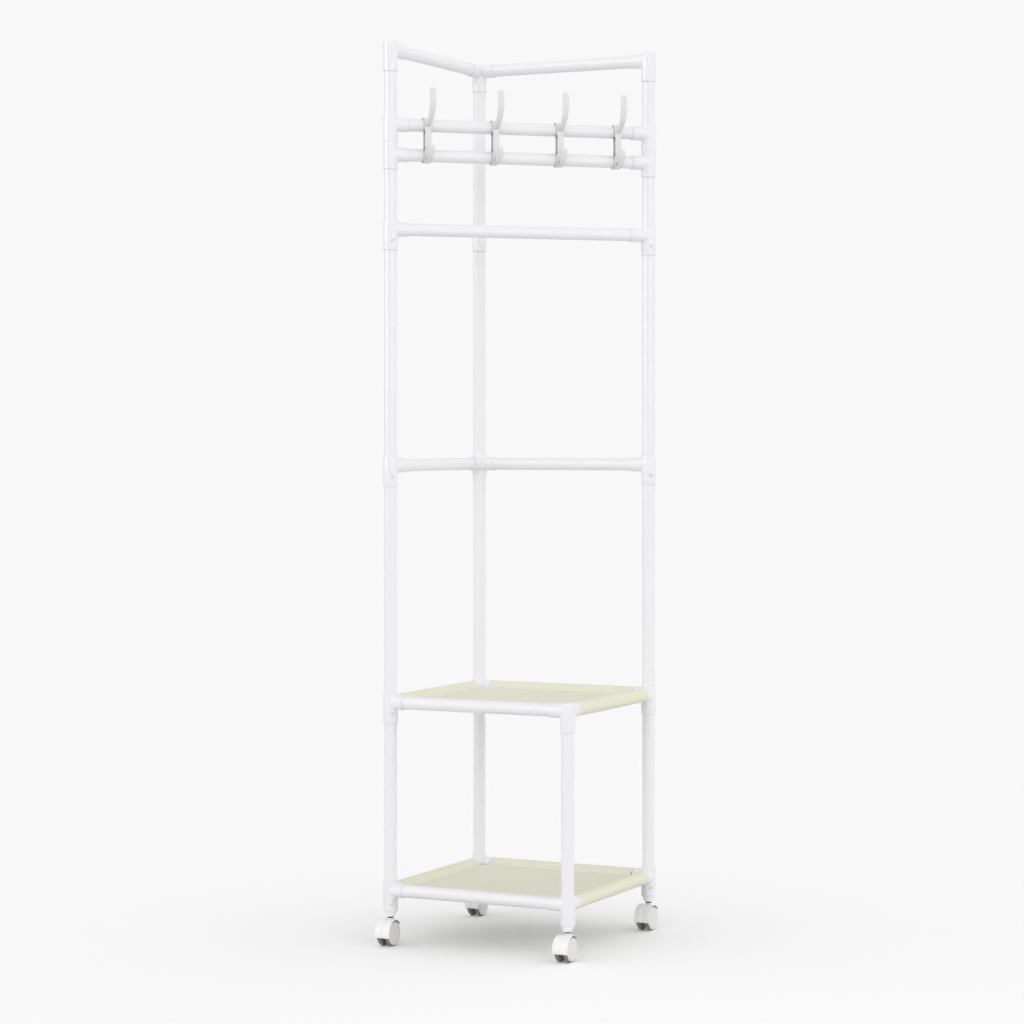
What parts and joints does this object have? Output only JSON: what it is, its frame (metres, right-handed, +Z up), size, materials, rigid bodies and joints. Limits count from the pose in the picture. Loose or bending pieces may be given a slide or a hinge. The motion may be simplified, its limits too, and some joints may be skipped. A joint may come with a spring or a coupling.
{
  "type": "clothes stand with shelf",
  "caption": "Tall corner clothes stand of white pipes and moulded joints, with a coat rail, clip-on hooks, cloth shelves and swivelling casters.",
  "frame": {"origin": "on the floor, midway between the four posts", "axes": "+X from the left post to the right post along the diagonal of the square plan, -Y towards the front post and the room, +Z up"},
  "size_m": [0.6119, 0.6119, 1.8095],
  "materials": {
    "pipe_white": "white gloss coating on steel pipe",
    "joint_white": "white moulded plastic, satin gloss",
    "hook_white": "warm white moulded plastic",
    "shelf_cloth": "cream woven cloth, stretched",
    "caster_white": "white moulded plastic",
    "wheel_grey": "dark grey tread",
    "stem_steel": "dark steel"
  },
  "bodies": {
    "frame": {"caster_stem_front": "stem_steel", "caster_stem_left": "stem_steel", "caster_stem_rear": "stem_steel", "caster_stem_right": "stem_steel", "coat_rail": "pipe_white", "coat_tee_left": "joint_white", "coat_tee_right": "joint_white", "hook_rail_lower": "pipe_white", "hook_rail_upper": "pipe_white", "hook_tees_left": "joint_white", "hook_tees_right": "joint_white", "lower_shelf_cloth": "shelf_cloth", "lower_shelf_joint_front": "joint_white", "lower_shelf_joint_left": "joint_white", "lower_shelf_joint_rear": "joint_white", "lower_shelf_joint_right": "joint_white", "lower_shelf_rail_front_left": "pipe_white", "lower_shelf_rail_front_right": "pipe_white", "lower_shelf_rail_rear_left": "pipe_white", "lower_shelf_rail_rear_right": "pipe_white", "mid_joint_rear": "joint_white", "mid_rail_left": "pipe_white", "mid_rail_right": "pipe_white", "mid_tee_left": "joint_white", "mid_tee_right": "joint_white", "post_coupling_rear": "joint_white", "post_front": "pipe_white", "post_left": "pipe_white", "post_rear": "pipe_white", "post_right": "pipe_white", "top_joint_left": "joint_white", "top_joint_rear": "joint_white", "top_joint_right": "joint_white", "top_rail_left": "pipe_white", "top_rail_right": "pipe_white", "upper_shelf_cloth": "shelf_cloth", "upper_shelf_joint_front": "joint_white", "upper_shelf_joint_left": "joint_white", "upper_shelf_joint_rear": "joint_white", "upper_shelf_joint_right": "joint_white", "upper_shelf_rail_front_left": "pipe_white", "upper_shelf_rail_front_right": "pipe_white", "upper_shelf_rail_rear_left": "pipe_white", "upper_shelf_rail_rear_right": "pipe_white"},
    "hook_1": {"coat_hook_1": "hook_white"},
    "hook_2": {"coat_hook_2": "hook_white"},
    "hook_3": {"coat_hook_3": "hook_white"},
    "hook_4": {"coat_hook_4": "hook_white"},
    "caster_left": {"caster_hood_left": "caster_white"},
    "wheel_left_a": {"caster_wheel_left_a": "wheel_grey"},
    "wheel_left_b": {"caster_wheel_left_b": "wheel_grey"},
    "caster_right": {"caster_hood_right": "caster_white"},
    "wheel_right_a": {"caster_wheel_right_a": "wheel_grey"},
    "wheel_right_b": {"caster_wheel_right_b": "wheel_grey"},
    "caster_rear": {"caster_hood_rear": "caster_white"},
    "wheel_rear_a": {"caster_wheel_rear_a": "wheel_grey"},
    "wheel_rear_b": {"caster_wheel_rear_b": "wheel_grey"},
    "caster_front": {"caster_hood_front": "caster_white"},
    "wheel_front_a": {"caster_wheel_front_a": "wheel_grey"},
    "wheel_front_b": {"caster_wheel_front_b": "wheel_grey"}
  },
  "joints": [
    {"name": "hook_1_slide", "type": "slide", "parent": "frame", "child": "hook_1", "axis": [1, 0, 0], "range_m": [-0.028, 0.06]},
    {"name": "hook_2_slide", "type": "slide", "parent": "frame", "child": "hook_2", "axis": [1, 0, 0], "range_m": [-0.06, 0.0575]},
    {"name": "hook_3_slide", "type": "slide", "parent": "frame", "child": "hook_3", "axis": [1, 0, 0], "range_m": [-0.0575, 0.0515]},
    {"name": "hook_4_slide", "type": "slide", "parent": "frame", "child": "hook_4", "axis": [1, 0, 0], "range_m": [-0.0515, 0.028]},
    {"name": "caster_left_swivel", "type": "hinge", "parent": "frame", "child": "caster_left", "pos_m": [-0.27719, 0, 0.025], "axis": [0, 0, 1], "continuous": true},
    {"name": "wheel_left_a_roll", "type": "hinge", "parent": "caster_left", "child": "wheel_left_a", "pos_m": [-0.28355, -0.00636, 0.025], "axis": [0.7071, -0.7071, 0], "continuous": true},
    {"name": "wheel_left_b_roll", "type": "hinge", "parent": "caster_left", "child": "wheel_left_b", "pos_m": [-0.28355, -0.00636, 0.025], "axis": [0.7071, -0.7071, 0], "continuous": true},
    {"name": "caster_right_swivel", "type": "hinge", "parent": "frame", "child": "caster_right", "pos_m": [0.27719, 0, 0.025], "axis": [0, 0, 1], "continuous": true},
    {"name": "wheel_right_a_roll", "type": "hinge", "parent": "caster_right", "child": "wheel_right_a", "pos_m": [0.27082, -0.00636, 0.025], "axis": [0.7071, -0.7071, 0], "continuous": true},
    {"name": "wheel_right_b_roll", "type": "hinge", "parent": "caster_right", "child": "wheel_right_b", "pos_m": [0.27082, -0.00636, 0.025], "axis": [0.7071, -0.7071, 0], "continuous": true},
    {"name": "caster_rear_swivel", "type": "hinge", "parent": "frame", "child": "caster_rear", "pos_m": [0, 0.27719, 0.025], "axis": [0, 0, 1], "continuous": true},
    {"name": "wheel_rear_a_roll", "type": "hinge", "parent": "caster_rear", "child": "wheel_rear_a", "pos_m": [-0.00636, 0.27082, 0.025], "axis": [0.7071, -0.7071, 0], "continuous": true},
    {"name": "wheel_rear_b_roll", "type": "hinge", "parent": "caster_rear", "child": "wheel_rear_b", "pos_m": [-0.00636, 0.27082, 0.025], "axis": [0.7071, -0.7071, 0], "continuous": true},
    {"name": "caster_front_swivel", "type": "hinge", "parent": "frame", "child": "caster_front", "pos_m": [0, -0.27719, 0.025], "axis": [0, 0, 1], "continuous": true},
    {"name": "wheel_front_a_roll", "type": "hinge", "parent": "caster_front", "child": "wheel_front_a", "pos_m": [-0.00636, -0.28355, 0.025], "axis": [0.7071, -0.7071, 0], "continuous": true},
    {"name": "wheel_front_b_roll", "type": "hinge", "parent": "caster_front", "child": "wheel_front_b", "pos_m": [-0.00636, -0.28355, 0.025], "axis": [0.7071, -0.7071, 0], "continuous": true}
  ]
}
